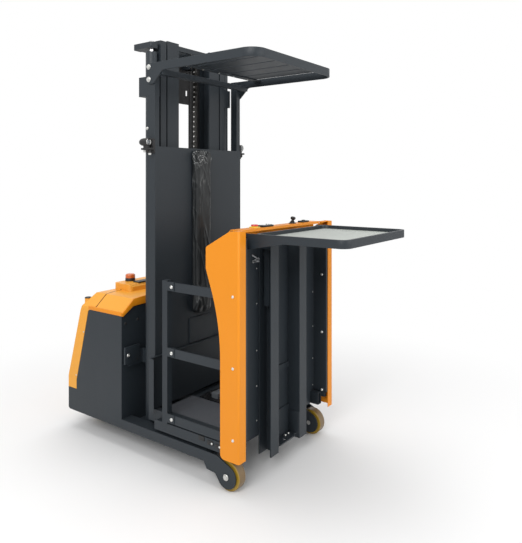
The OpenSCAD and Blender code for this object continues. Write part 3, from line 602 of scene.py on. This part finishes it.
# %% Side lamps, beacon and the fittings on the hood
GLASS = finish("lamp_lens", (0.20, 0.22, 0.24), rough=0.10, spread=0.0, metallic=0.0, skin_depth=0.0, dust=0.0,
               coat=1.0, coat_rough=0.03)
GLASS.node_tree.nodes["Principled BSDF"].inputs["Transmission Weight"].default_value = 0.35
LAMP_STUDS = ((-602, 1446), (-566, 1432))

for s, side in SIDES:
    bm = bmesh.new()
    lamp = facing(at(-616, s * 355, 1489), (1, 0, 0))
    turned(bm, [(0, -8), (9, -8), (13, -5), (16.5, 2), (18.5, 14), (19, 44), (17.5, 47), (16, 47), (15.5, 42),
                (0, 42)], lamp, segments=36)
    for x, low in LAMP_STUDS:
        turned(bm, [(0, 0), (5, 0), (5, 1456 - low), (0, 1456 - low)], Matrix.Translation(at(x, s * 350, low)))
    side_slab(bm, s, (-608, -556), (326, 336), (1436, 1506), edge=2)
    side_slab(bm, s, (-613, -555), (334, 364), (1452, 1461), edge=1.5)
    side_slab(bm, s, (-600, -572), (346, 362), (1458, 1476), edge=2)
    shell = piece("lamp_shell_" + side, bm, "cab", BLACK_PLASTIC)
    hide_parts("side_lamps")
    bm = bmesh.new()
    turned(bm, [(0, 42), (12.2, 42), (12.2, 45), (9, 46.5), (4, 47.6), (0, 47.8)], lamp, segments=36)
    piece("lamp_lens_" + side, bm, "cab", GLASS)
    bm = bmesh.new()
    turned(bm, [(12, 43), (14.8, 43), (14.8, 47), (13.6, 48.2), (12, 47), (12, 43)], lamp, segments=36)
    piece("lamp_ring_" + side, bm, "cab", BRIGHT_STEEL)
    bm = bmesh.new()
    for x, low in LAMP_STUDS:
        turned(bm, [(0, -5), (6, -5), (7.5, -4), (7.5, 4), (6, 5), (0, 5)], Matrix.Translation(at(x, s * 350, low)),
               segments=6)
    piece("lamp_nuts_" + side, bm, "cab", BRIGHT_STEEL)

BEACON_X, BEACON_Y = -984, -107
BEACON_RIBS = 24
BEACON_SPOT = Matrix.Translation(at(BEACON_X, BEACON_Y, 756))
bm = bmesh.new()
turned(bm, [(0, 0), (27, 0), (27, 12), (26, 16), (25, 17), (0, 17)], BEACON_SPOT, segments=40)
piece("beacon_foot", bm, "truck", BLACK_PLASTIC)
bm = bmesh.new()
turned(bm, [(0, 16), (25.5, 16), (26, 18), (26, 31), (24.5, 35), (20, 37.6), (10, 38.4), (0, 38.5)],
       BEACON_SPOT, segments=96)
beacon_axis = at(BEACON_X, BEACON_Y, 0)
for vert in bm.verts:
    spoke = Vector((vert.co.x - beacon_axis.x, vert.co.y - beacon_axis.y))
    turn = math.atan2(spoke.y, spoke.x)
    if spoke.length > 0.02:
        pull = 1 - 0.028 * (0.5 + 0.5 * math.cos(BEACON_RIBS * turn))
        vert.co.x = beacon_axis.x + spoke.x * pull
        vert.co.y = beacon_axis.y + spoke.y * pull
lens = piece("beacon_lens", bm, "truck", BEACON_RED)
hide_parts("beacon")

bm = bmesh.new()
turned(bm, [(0, 0), (17.5, 0), (17.5, 3), (15, 5), (0, 5)], Matrix.Translation(at(-1080, -312, 684)))
slab(bm, (-934, -132, 755), (-888, -38, 763), edge=2.5, segments=3)
piece("hood_caps", bm, "truck", BLACK_PLASTIC)


def swept_band(bm, outer_line, inner_line, x0, x1):
    """A band between two lines of (y, z) points in millimetres, as thick as from x0 to x1."""
    part = bmesh.new()
    rings = [[part.verts.new(at(x, y, z)) for x, (y, z) in
              ((x0, outer), (x1, outer), (x1, inner), (x0, inner))] for outer, inner in zip(outer_line, inner_line)]
    for first, second in zip(rings, rings[1:]):
        for k in range(4):
            part.faces.new((first[k], first[(k + 1) % 4], second[(k + 1) % 4], second[k]))
    part.faces.new(rings[0][::-1])
    part.faces.new(rings[-1])
    bmesh.ops.recalc_face_normals(part, faces=part.faces)
    rims = [e for e in part.edges if e.calc_face_angle(0) > 1.2]
    bmesh.ops.bevel(part, geom=rims, offset=1.5 * MM, offset_type="OFFSET", affect="EDGES", segments=2,
                    profile=0.5, material=-1)
    merge_into(bm, part)


bm = bmesh.new()
RIM_SIDE, RIM_LOW = 366.2, 642
outer_half = [(-RIM_SIDE, RIM_LOW), (-RIM_SIDE, 657), (-293, 717.5), (-215, 723.5)]
inner_half = [(-359, RIM_LOW), (-354, 646), (-296, 681), (-215, 684)]
mirrored = [[(-y, z) for y, z in half[::-1]] for half in (outer_half, inner_half)]
swept_band(bm, outer_half + mirrored[0], inner_half + mirrored[1], -750, -741.5)
for s, side in SIDES:
    side_slab(bm, s, (-1008, -741.6), (357, RIM_SIDE), (RIM_LOW, 660), edge=2.2, segments=3)
piece("hood_rims", bm, "truck", ORANGE)
print("lamps and beacon built")

# %% [markdown]
# ## Controls
# On the console stand a stop button on a yellow collar, a display, a lever in a rubber boot and a key
# switch. They take the place of the plain control shapes of the model. Two strips of the console's own
# steel close its ends against the side panels.

# %% Build the controls
YELLOW = finish("yellow_collar", (0.80, 0.52, 0.05), rough=0.35, skin_depth=0.1, dust=0.02)
RED = finish("red_button", (0.62, 0.02, 0.015), rough=0.28, skin_depth=0.05, dust=0.01, coat=0.5)
SCREEN = finish("display_glass", (0.01, 0.012, 0.014), rough=0.08, spread=0.02, skin_depth=0.0, dust=0.02,
                coat=1.0, coat_rough=0.04)

CONSOLE_TOP = 1098
stop_spot = Matrix.Translation(at(-74, -184, 1097.5))
bm = bmesh.new()
turned(bm, [(0, 0), (25, 0), (25, 3), (21, 5), (14, 5.5), (14, 8), (0, 8)], stop_spot, segments=40)
piece("stop_collar", bm, "cab", YELLOW)
bm = bmesh.new()
turned(bm, [(0, 7.5), (15, 7.5), (16, 9), (16, 12), (14.5, 14.5), (9, 15.5), (0, 15.5)], stop_spot, segments=40)
piece("stop_button", bm, "cab", RED)
bm = bmesh.new()
slab(bm, (-93, -147, CONSOLE_TOP), (-49, -70, CONSOLE_TOP + 8), edge=2.5, segments=3)
for x in (-84, -71, -58):
    turned(bm, [(0, 0), (3.6, 0), (3.6, 1.2), (2.8, 2), (0, 2)], Matrix.Translation(at(x, -80, 1105.8)))
turned(bm, [(0, 0), (18, 0), (18, 2.5), (15, 4), (0, 4)], Matrix.Translation(at(-71, 118, CONSOLE_TOP)),
       segments=36)
lever = facing(at(-71, 118, 1099), (0, 0.3, 1))
turned(bm, [(0, 0), (13, 0), (12, 3), (13, 5), (9, 8), (10, 10), (7, 12), (6, 17), (10, 19), (12.5, 23), (12, 29),
            (8, 32), (0, 32)], lever, segments=36)
slab(bm, (-86, 190, CONSOLE_TOP), (-56, 250, CONSOLE_TOP + 8), edge=2, segments=3)
turned(bm, [(0, 8), (9, 8), (9, 11), (4, 12), (0, 12)], Matrix.Translation(at(-71, 220, CONSOLE_TOP)))
panel = piece("console_fittings", bm, "cab", BLACK_PLASTIC)
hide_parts("controls")
bm = bmesh.new()
for s, side in SIDES:
    side_slab(bm, s, (-54, -22), (322, 386), (1090.5, 1096.5), edge=1.5)
piece("console_ends", bm, "cab", ORANGE)
bm = bmesh.new()
slab(bm, (-90, -143, 1105.5), (-52, -90, 1107), edge=0.5)
piece("display_glass", bm, "cab", SCREEN)
print("controls built")

# %% [markdown]
# Under the console a pale tag hangs from a tie against the front wall. It is a few flat strips, each turned
# a little about the wall's normal.

# %% Hang the tag
TAG_X = -74


def strip(bm, middle_at, length, width, lean):
    """A flat strip against the front wall, leaning by an angle in degrees."""
    place = Matrix.Translation(at(TAG_X, *middle_at)) @ Matrix.Rotation(math.radians(lean), 4, "X")
    slab(bm, (-1, -length / 2, -width / 2), (1, length / 2, width / 2), edge=0.5, place=place)


bm = bmesh.new()
for middle_at, length, width, lean in (((-180, 967), 52, 6, -26), ((-168, 947), 66, 8, -6), ((-184, 950), 28, 12, 14),
                                       ((-150, 955), 20, 6, -40)):
    strip(bm, middle_at, length, width, lean)
TAG = finish("pale_tag", (0.30, 0.31, 0.32), rough=0.4, skin_scale=200, skin_depth=0.5, dust=0.0)
piece("wall_tag", bm, "cab", TAG)
print("tag hung")

# %% [markdown]
# ## Inside the mast
# Between the inner beams hang two slotted plates, and beside them a dark strip with two hoses along it.
# Through the slots one sees daylight.

# %% Slotted plates and the hose strip
def slotted_plate(bm, x0, x1, y0, y1, z0, z1, slot_y, slot_z):
    """A plate across the mast with one upright slot, made of the four bars round the slot."""
    (sy0, sy1), (sz0, sz1) = slot_y, slot_z
    for low, high in (((x0, y0, z0), (x1, y1, sz0)), ((x0, y0, sz1), (x1, y1, z1)),
                      ((x0, y0, sz0 - 1), (x1, sy0, sz1 + 1)), ((x0, sy1, sz0 - 1), (x1, y1, sz1 + 1))):
        slab(bm, low, high, edge=0.6, segments=1)


BAY_HALF = 117
PLATES_TOP = 1938
SLOT_Y = (10, 24)
bm = bmesh.new()
slotted_plate(bm, -684, -678, -BAY_HALF, BAY_HALF, 1819, PLATES_TOP, SLOT_Y, (1848, 1880))
slotted_plate(bm, -684, -678, -BAY_HALF, BAY_HALF, 1712, 1820, SLOT_Y, (1758, 1786))
slab(bm, (-683, 34, 180), (-676, BAY_HALF, PLATES_TOP), edge=1.5)
for y in (44, 64):
    turned(bm, [(0, 0), (7, 0), (7, 1700), (0, 1700)], Matrix.Translation(at(-676, y, 200)), segments=16)
piece("mast_plates", bm, "inner_mast", BLACK_PLASTIC)
print("mast plates built")

# %% [markdown]
# The lift chain is a leaf chain: pairs of plates, inner and outer by turns, on bright pins. Its front fall
# hangs from the chain wheel down to the cab, and as the cab climbs the inner mast this fall gets shorter.

# %% Link the chain
CHAIN_LO, CHAIN_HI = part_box("lift_chain")
LINKS = 50
LINK_ROUND = 8 * MM
PITCH = (CHAIN_HI.z - CHAIN_LO.z - 2 * LINK_ROUND) / LINKS


def chain_plate(bm, centre, y0, y1):
    """One plate with two round ends, upright, between two distances across the truck."""
    part = bmesh.new()
    outline = []
    for end in (1, -1):
        for k in range(9):
            turn = math.radians(-25 + 230 * k / 8) if end == 1 else math.radians(155 + 230 * k / 8)
            outline.append((LINK_ROUND * math.cos(turn), end * PITCH / 2 + LINK_ROUND * math.sin(turn)))
    near = [part.verts.new((centre.x + x, centre.y + y0 * MM, centre.z + z)) for x, z in outline]
    far = [part.verts.new((centre.x + x, centre.y + y1 * MM, centre.z + z)) for x, z in outline]
    part.faces.new(near)
    part.faces.new(far[::-1])
    for k in range(len(near)):
        after = (k + 1) % len(near)
        part.faces.new((near[k], far[k], far[after], near[after]))
    bmesh.ops.recalc_face_normals(part, faces=part.faces)
    merge_into(bm, part)


bm = bmesh.new()
chain_middle = (CHAIN_LO + CHAIN_HI) / 2
top_pin = CHAIN_HI.z - LINK_ROUND
for link in range(LINKS + 1):
    pin = Vector((chain_middle.x, chain_middle.y, top_pin - link * PITCH))
    turned(bm, [(0, -9.5), (3.4, -9.5), (4.2, -9), (4.2, 9), (3.4, 9.5), (0, 9.5)], facing(pin, (0, 1, 0)), segments=14)
    if link < LINKS:
        for y0 in ((-8, 5) if link % 2 == 0 else (-4.6, 1.6)):
            chain_plate(bm, pin - Vector((0, 0, PITCH / 2)), y0, y0 + 3)
chain = piece("leaf_chain", bm, "inner_mast", CHAIN_STEEL)
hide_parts("lift_chain")
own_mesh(chain)
print("chain of", LINKS, "links, pitch", round(PITCH / MM, 1), "mm")

# %% [markdown]
# ## The wrapped cushion
# The back cushion is still in its film. The foam comes first: a rounded block, a little small, is remeshed
# into an even skin and blown up by the cloth solver, while its back stays flat against the wall. How far a
# point may move is capped. The film's folds come after it, as fine ridges that run down the length.

# %% Blow up the cushion
PAD_LO, PAD_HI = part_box("backrest_pad")
PAD_FRAMES = 20
PAD_CAP = 0.007


def applied(obj):
    """Bakes an object's modifiers into its mesh."""
    view = bpy.context.evaluated_depsgraph_get()
    mesh = bpy.data.meshes.new_from_object(obj.evaluated_get(view))
    obj.modifiers.clear()
    obj.data = mesh


def rounded_block(low, high, corner, edge):
    """A block with large corners seen from the front and a smaller round on every other edge."""
    bm = bmesh.new()
    bmesh.ops.create_cube(bm, size=1.0)
    bmesh.ops.scale(bm, vec=high - low, verts=bm.verts)
    bmesh.ops.translate(bm, vec=(high + low) / 2, verts=bm.verts)
    along_x = [e for e in bm.edges if abs((e.verts[0].co - e.verts[1].co).normalized().x) > 0.9]
    bmesh.ops.bevel(bm, geom=along_x, offset=corner, offset_type="OFFSET", affect="EDGES", segments=6,
                    profile=0.5, material=-1)
    rims = [e for e in bm.edges if e.calc_face_angle(0) > 1.0]
    bmesh.ops.bevel(bm, geom=rims, offset=edge, offset_type="OFFSET", affect="EDGES", segments=4,
                    profile=0.5, material=-1)
    return bm


# The block starts inside the pad's box by these steps, which leave room for the swelling and the folds
inset = Vector((0, 0.005, 0.005))
front = Vector((0.006, 0, 0))
narrower = Vector((0, 0.016, 0))
shorter = Vector((0, 0, 0.016))
cushion = new_object("back_cushion", rounded_block(PAD_LO + inset + shorter, PAD_HI - inset - front - narrower,
                                                   0.026, 0.010))
remesh = cushion.modifiers.new("even_skin", "REMESH")
remesh.mode = "VOXEL"
remesh.voxel_size = 0.006
applied(cushion)
flat_back = cushion.vertex_groups.new(name="flat_back")
flat_back.add([v.index for v in cushion.data.vertices if v.co.x < PAD_LO.x + 0.010], 1.0, "REPLACE")
resting = [v.co.copy() for v in cushion.data.vertices]
cloth = cushion.modifiers.new("foam", "CLOTH")
cloth.settings.use_pressure = True
cloth.settings.uniform_pressure_force = 4
cloth.settings.vertex_group_mass = "flat_back"
cloth.settings.effector_weights.gravity = 0
cloth.point_cache.frame_end = PAD_FRAMES
for frame_number in range(1, PAD_FRAMES + 1):
    bpy.context.scene.frame_set(frame_number)
applied(cushion)
bpy.context.scene.frame_set(1)
moved = 0
for vert, rest in zip(cushion.data.vertices, resting):
    step = vert.co - rest
    if step.length > PAD_CAP:
        vert.co = rest + step.normalized() * PAD_CAP
    moved = max(moved, (vert.co - rest).length)
finer = cushion.modifiers.new("finer", "SUBSURF")
finer.levels = 1
finer.render_levels = 1
applied(cushion)
print("cushion skin:", len(cushion.data.vertices), "points, blown up by", round(moved / MM, 1), "mm")

# %% [markdown]
# A fold in stretched film is a thin ridge, so it is taken where a slow noise crosses zero. Long ridges run
# down and slightly across the cushion. Where the film is gathered, at the top, they grow and cross.

# %% Lay the film's folds
def ridge(value, width):
    """One where the value crosses zero, falling to nothing at the given width."""
    return max(0.0, 1.0 - abs(value) / width) ** 2


def film_fold(point, gather):
    """How far the film stands off the foam at a point, in metres."""
    y, z = point.y, point.z
    long_folds = noise.noise(Vector((y * 15 + z * 4, z * 2.2, point.x * 20)))
    cross_folds = noise.noise(Vector((y * 9 - z * 8 + 4.2, z * 4 + 1.7, point.x * 10)))
    small_folds = noise.noise(Vector((y * 60, z * 42 + 9.1, point.x * 60)))
    height = 0.0022 * ridge(long_folds, 0.14) + 0.0012 * ridge(cross_folds, 0.10)
    return height + 0.0042 * gather * ridge(small_folds, 0.3)


for vert, normal in zip(cushion.data.vertices, [v.normal.copy() for v in cushion.data.vertices]):
    if vert.co.x > PAD_LO.x + 0.004:
        gather = max(0.0, 1 - (PAD_HI.z - vert.co.z) / 0.10) * max(0.0, 1 - (vert.co.y - PAD_LO.y) / 0.11)
        vert.co += normal * film_fold(vert.co, gather)
    vert.co.x = max(vert.co.x, PAD_LO.x)
cushion.data.shade_smooth()


def crease_group():
    """Bump for crumpled film: fine ridges stretched along Z, and a mask of where they stand."""
    group, add, given, result = effect_group(
        "film_creases", {"Scale": 30, "Stretch": 0.25, "Depth": 0.6},
        {"Normal": "NodeSocketVector", "Mask": "NodeSocketFloat"})
    place = add("ShaderNodeTexCoord")
    squash = add("ShaderNodeCombineXYZ", {"X": 1.0, "Y": 1.0, "Z": given.outputs["Stretch"]})
    stretched = add("ShaderNodeVectorMath", {0: place.outputs["Object"], 1: squash.outputs[0]},
                    operation="MULTIPLY")
    wander = add("ShaderNodeTexNoise", {"Vector": stretched.outputs[0], "Scale": given.outputs["Scale"],
                                        "Detail": 3.0, "Roughness": 0.55, "Distortion": 0.8})
    centred = add("ShaderNodeMath", {0: wander.outputs["Fac"], 1: 0.5}, operation="SUBTRACT")
    folded = add("ShaderNodeMath", {0: centred.outputs[0]}, operation="ABSOLUTE")
    crest = add("ShaderNodeMapRange", {"Value": folded.outputs[0], "From Min": 0.0, "From Max": 0.022,
                                       "To Min": 1.0, "To Max": 0.0}, interpolation_type="SMOOTHSTEP")
    bump = add("ShaderNodeBump", {"Strength": given.outputs["Depth"], "Distance": 0.0025,
                                  "Height": crest.outputs[0]})
    group.links.new(bump.outputs["Normal"], result.inputs["Normal"])
    group.links.new(crest.outputs[0], result.inputs["Mask"])
    return group


CREASES = crease_group()


def film_finish(name, colour, fold_haze_and_glint, scale, stretch, depth, coat):
    """Clear film over something dark: glossy, creased, and lighter on the fold crests, partly hazed film and partly
    painted highlight.
    """
    mat = bpy.data.materials.new(name)
    mat.use_nodes = True
    tree = mat.node_tree
    shader = tree.nodes["Principled BSDF"]
    add = node_maker(tree)
    creases = add("ShaderNodeGroup", node_tree=CREASES)
    creases.inputs["Scale"].default_value = scale
    creases.inputs["Stretch"].default_value = stretch
    creases.inputs["Depth"].default_value = depth
    place = add("ShaderNodeTexCoord")
    patches = add("ShaderNodeTexNoise", {"Vector": place.outputs["Object"], "Scale": 9.0, "Detail": 4.0})
    some = add("ShaderNodeMapRange", {"Value": patches.outputs["Fac"], "From Min": 0.56, "From Max": 0.74,
                                      "To Min": 0.0, "To Max": 0.6})
    # Partly painted highlight: the fold crests turn toward the pale second colour, standing for clouded film and for
    # glints
    milky_and_glint = add("ShaderNodeMath", {0: creases.outputs["Mask"], 1: some.outputs[0]}, operation="MULTIPLY")
    base = add("ShaderNodeMix", {0: milky_and_glint.outputs[0], 6: (*colour, 1), 7: (*fold_haze_and_glint, 1)}, data_type="RGBA")
    rough = add("ShaderNodeMapRange", {"Value": patches.outputs["Fac"], "To Min": 0.20, "To Max": 0.48})
    tree.links.new(base.outputs[2], shader.inputs["Base Color"])
    tree.links.new(rough.outputs[0], shader.inputs["Roughness"])
    tree.links.new(creases.outputs["Normal"], shader.inputs["Normal"])
    tree.links.new(creases.outputs["Normal"], shader.inputs["Coat Normal"])
    shader.inputs["Specular IOR Level"].default_value = 0.28
    shader.inputs["Coat Weight"].default_value = coat
    shader.inputs["Coat Roughness"].default_value = 0.12
    return mat


cushion.data.materials.clear()
# The pale second colour on this film's fold crests is partly painted highlight
WRAP = film_finish("wrapped_cushion", (0.013, 0.015, 0.016), (0.26, 0.27, 0.27), 17, 0.16, 0.30, 0.12)
# Two light marks go into the cushion's colour: a painted highlight line along the film's right edge, and at the
# gathered top corner a pale crumple that is partly milky film and partly painted highlight
add, axes = place_parts(WRAP)
waver = add("ShaderNodeTexNoise", {"Vector": add("ShaderNodeCombineXYZ", {"Z": axes["Z"]}).outputs[0],
                                   "Scale": 5.0, "Detail": 3.0})
shift = add("ShaderNodeMath", {0: waver.outputs["Fac"], 1: 0.024}, operation="MULTIPLY")
along = add("ShaderNodeMath", {0: axes["Y"], 1: shift.outputs[0]}, operation="ADD")
off_edge = add("ShaderNodeMath", {0: along.outputs[0], 1: PAD_HI.y - 0.020}, operation="SUBTRACT")
off_edge = add("ShaderNodeMath", {0: off_edge.outputs[0]}, operation="ABSOLUTE")
painted_edge_highlight = add("ShaderNodeMapRange", {"Value": off_edge.outputs[0], "From Min": 0.0008, "From Max": 0.0026,
                                       "To Min": 0.8, "To Max": 0.0})
corner = add("ShaderNodeVectorMath", {0: add("ShaderNodeCombineXYZ", {"Y": axes["Y"], "Z": axes["Z"]}).outputs[0],
                                      1: (0, PAD_LO.y + 0.035, PAD_HI.z - 0.030)}, operation="DISTANCE")
near = add("ShaderNodeMapRange", {"Value": corner.outputs["Value"], "From Min": 0.02, "From Max": 0.07,
                                  "To Min": 1.0, "To Max": 0.0})
rumple = add("ShaderNodeGroup", node_tree=CREASES)
rumple.inputs["Scale"].default_value = 24
rumple.inputs["Stretch"].default_value = 1.0
crumpled = add("ShaderNodeMath", {0: rumple.outputs["Mask"], 1: near.outputs[0]}, operation="MULTIPLY")
crumpled = add("ShaderNodeMath", {0: crumpled.outputs[0], 1: 0.9}, operation="MULTIPLY")
haze_and_painted_highlight = add("ShaderNodeMath", {0: crumpled.outputs[0], 1: painted_edge_highlight.outputs[0]}, operation="MAXIMUM")
# The light grey mixed in here is painted highlight, and in the top corner partly milky film as well
recoloured(WRAP, haze_and_painted_highlight.outputs[0], (0.55, 0.57, 0.57))
cushion.data.materials.append(WRAP)
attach(cushion, "cab")
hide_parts("backrest_pad")
print("film folds laid")

# %% [markdown]
# ## The wrapped foot pedal
# The pedal plate on the deck is wrapped in black film as well. It is a grid laid over the plate, pushed up
# into crumples and closed below. A small switch stands on the deck beside it.

# %% Wrap the pedal
LOW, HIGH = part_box("foot_pedal")
CELLS_X, CELLS_Y = 96, 100
bm = bmesh.new()
bmesh.ops.create_grid(bm, x_segments=CELLS_X, y_segments=CELLS_Y, size=1.0)
centre = (LOW + HIGH) / 2
half = (HIGH - LOW) / 2
for vert in bm.verts:
    u, v = vert.co.x, vert.co.y
    rim = min(1 - abs(u), 1 - abs(v))
    x = centre.x + u * half.x * (1 - 0.035 * noise.noise(Vector((v * 3, 1.2, 0.4))) - 0.03)
    y = centre.y + v * half.y * (1 - 0.045 * noise.noise(Vector((u * 3, 5.2, 2.4))) - 0.03)
    spot = Vector((x * 16, y * 16, 2.0))
    lift = 1 / (1 + math.exp(-(rim - 0.16) * 26))
    crumple = 0.006 * ridge(noise.noise(spot), 0.2) + 0.004 * ridge(noise.noise(spot * 2.3), 0.22)
    crumple += 0.002 * noise.noise(spot * 4.1)
    z = LOW.z + 0.003 + lift * 0.014 + crumple * (0.35 + 0.65 * lift)
    vert.co = Vector((x, y, min(z, HIGH.z)))
below = bmesh.ops.extrude_face_region(bm, geom=bm.faces[:])
for item in below["geom"]:
    if isinstance(item, bmesh.types.BMVert):
        item.co.z = LOW.z + 0.0003
bmesh.ops.recalc_face_normals(bm, faces=bm.faces)
# The black film's paler fold crests are partly painted glints
pedal = piece("wrapped_pedal", bm, "cab",
              film_finish("black_film", (0.008, 0.008, 0.009), (0.12, 0.12, 0.13), 30, 1.0, 0.7, 0.5),
              smooth_angle=50)
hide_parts("foot_pedal")

bm = bmesh.new()
deck = LOW.z / MM
slab(bm, (-456, -38, deck + 1), (-414, 22, deck + 34), edge=4, segments=3)
piece("deck_switch", bm, "cab", finish("grey_moulding", (0.11, 0.12, 0.13), rough=0.4, dust=0.05))
print("pedal wrapped")
